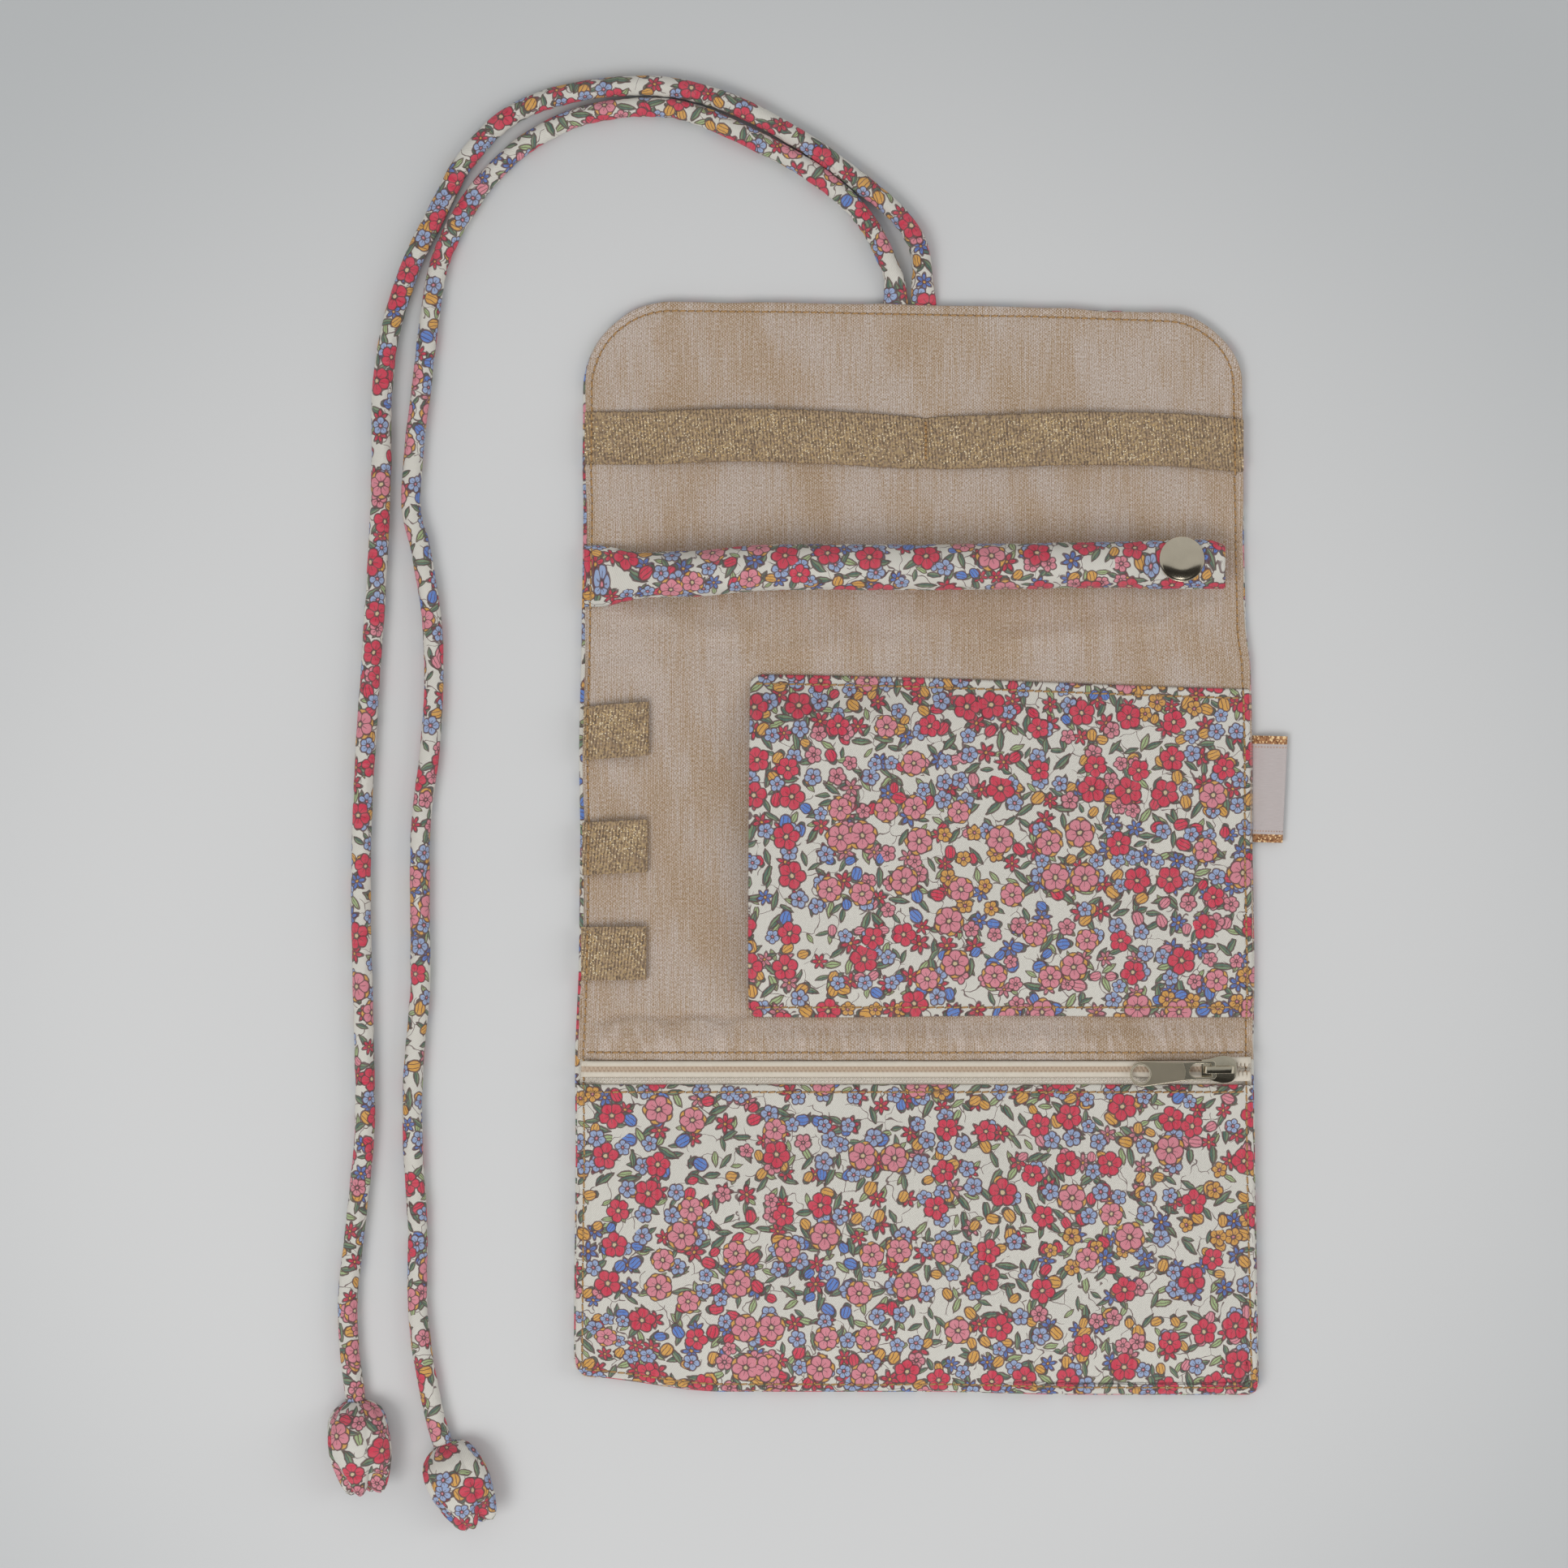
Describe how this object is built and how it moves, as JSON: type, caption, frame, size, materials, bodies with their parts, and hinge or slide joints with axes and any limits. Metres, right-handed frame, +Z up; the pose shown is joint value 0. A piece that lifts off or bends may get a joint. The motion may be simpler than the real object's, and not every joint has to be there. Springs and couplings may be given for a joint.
{
  "type": "jewelry roll pouch",
  "caption": "Padded fabric jewelry roll pouch, lying open: ring roll with snap, earring band and loops, patch pocket, zip pocket and tie cords.",
  "frame": {"origin": "centre of the underside of the open pouch", "axes": "+X to the side that carries the label, +Y along the length towards the tie cords, +Z up, away from the surface it lies on"},
  "size_m": [0.2807, 0.4274, 0.0163],
  "materials": {
    "floral_print": "matt woven print",
    "lining": "shimmering plain weave",
    "glitter_ribbon": "ribbed with metallic yarn",
    "wadding": "matt",
    "nickel": "brushed",
    "zip_tape": "woven tape",
    "zip_nylon": "satin",
    "thread": "satin",
    "satin_label": "satin"
  },
  "bodies": {
    "flap": {"shell_flap": "floral_print", "wadding_flap": "wadding", "lining_flap": "lining", "earring_band": "glitter_ribbon", "band_tack": "thread", "snap_stud": "nickel", "snap_stud_rivet": "nickel", "tie_cord_right": "floral_print", "tie_cord_left": "floral_print", "tulip_tip_right": "floral_print", "tulip_tip_left": "floral_print"},
    "ring_roll": {"ring_roll_cover": "floral_print", "ring_roll_filling": "wadding", "snap_cap": "nickel", "snap_socket": "nickel"},
    "middle": {"shell_middle": "floral_print", "wadding_middle": "wadding", "lining_middle": "lining", "earring_loop_1": "glitter_ribbon", "earring_loop_2": "glitter_ribbon", "earring_loop_3": "glitter_ribbon", "patch_pocket": "floral_print", "side_label": "satin_label"},
    "pocket": {"shell_pocket": "floral_print", "wadding_pocket": "wadding", "lining_pocket": "lining", "zip_facing": "lining", "pocket_front_lining": "lining", "pocket_front": "floral_print", "zip_tape_upper": "zip_tape", "zip_tape_lower": "zip_tape", "zip_teeth_upper": "zip_nylon", "zip_teeth_lower": "zip_nylon"},
    "slider": {"zip_slider": "nickel"},
    "pull": {"zip_pull": "nickel"}
  },
  "joints": [
    {"name": "upper_fold", "type": "hinge", "parent": "flap", "child": "middle", "pos_m": [0, 0.0607, 0.01765], "axis": [-1, 0, 0], "range_deg": [0, 180]},
    {"name": "lower_fold", "type": "hinge", "parent": "middle", "child": "pocket", "pos_m": [0, -0.0507, 0.0092], "axis": [-1, 0, 0], "range_deg": [0, 180]},
    {"name": "ring_roll_lift", "type": "hinge", "parent": "flap", "child": "ring_roll", "pos_m": [-0.0969, 0.0801, 0.0043], "axis": [0, 1, 0], "range_deg": [-120, 0]},
    {"name": "zip_slide", "type": "slide", "parent": "pocket", "child": "slider", "axis": [1, 0, 0], "range_m": [-0.17, 0], "deforming": ["zip_teeth_upper", "zip_teeth_lower"]},
    {"name": "pull_swing", "type": "hinge", "parent": "slider", "child": "pull", "pos_m": [0.08653, -0.0644, 0.00914], "axis": [0.061, -0.9981, 0], "range_deg": [-170, 0]}
  ]
}
